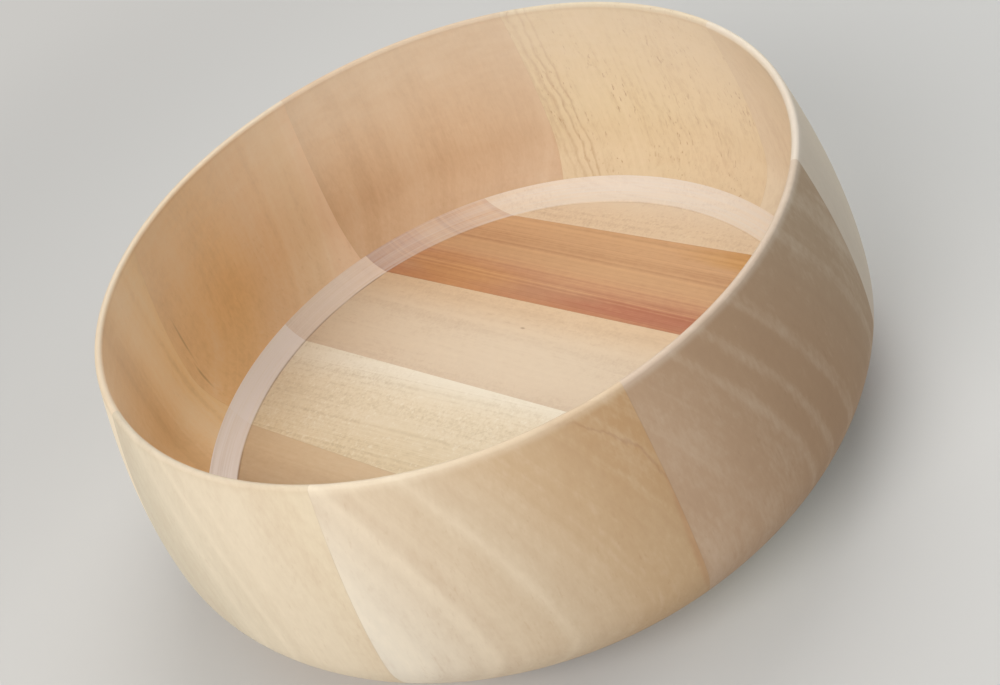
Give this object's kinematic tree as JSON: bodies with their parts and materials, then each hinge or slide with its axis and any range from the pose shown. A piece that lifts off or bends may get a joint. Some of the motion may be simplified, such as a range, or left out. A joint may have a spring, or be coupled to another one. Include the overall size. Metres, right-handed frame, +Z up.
{
  "type": "wooden salad bowl",
  "caption": "Round salad bowl with a bellied wall of upright wooden staves standing on a flat board of edge-glued strips, turned thin, with a rounded rim and a cove round the floor.",
  "frame": {"origin": "centre of the flat face under the bowl, on the surface that it stands on", "axes": "+Z up along the axis that the bowl was turned about; the board's strips run 51 degrees clockwise from +X, seen from above"},
  "size_m": [0.3, 0.3, 0.119],
  "materials": {
    "straw_stave": "sanded and left bare, pale straw with open pores",
    "pink_stave": "sanded and left bare, pinkish tan",
    "honey_stave": "sanded and left bare, honey to orange tan",
    "cream_stave": "sanded and left bare, cream",
    "straw_strip": "sanded and left bare, pale straw with flecked grain",
    "orange_strip": "sanded and left bare, orange brown with darker streaks",
    "pink_strip": "sanded and left bare, pinkish beige",
    "tan_strip": "sanded and left bare, pink tan"
  },
  "bodies": {
    "root": {"wall_stave_1": "straw_stave", "wall_stave_2": "pink_stave", "wall_stave_3": "honey_stave", "wall_stave_4": "honey_stave", "wall_stave_5": "cream_stave", "wall_stave_6": "cream_stave", "wall_stave_7": "pink_stave", "wall_stave_8": "pink_stave", "base_strip_1": "straw_strip", "base_strip_2": "orange_strip", "base_strip_3": "pink_strip", "base_strip_4": "straw_strip", "base_strip_5": "tan_strip", "base_strip_6": "tan_strip"}
  },
  "joints": []
}
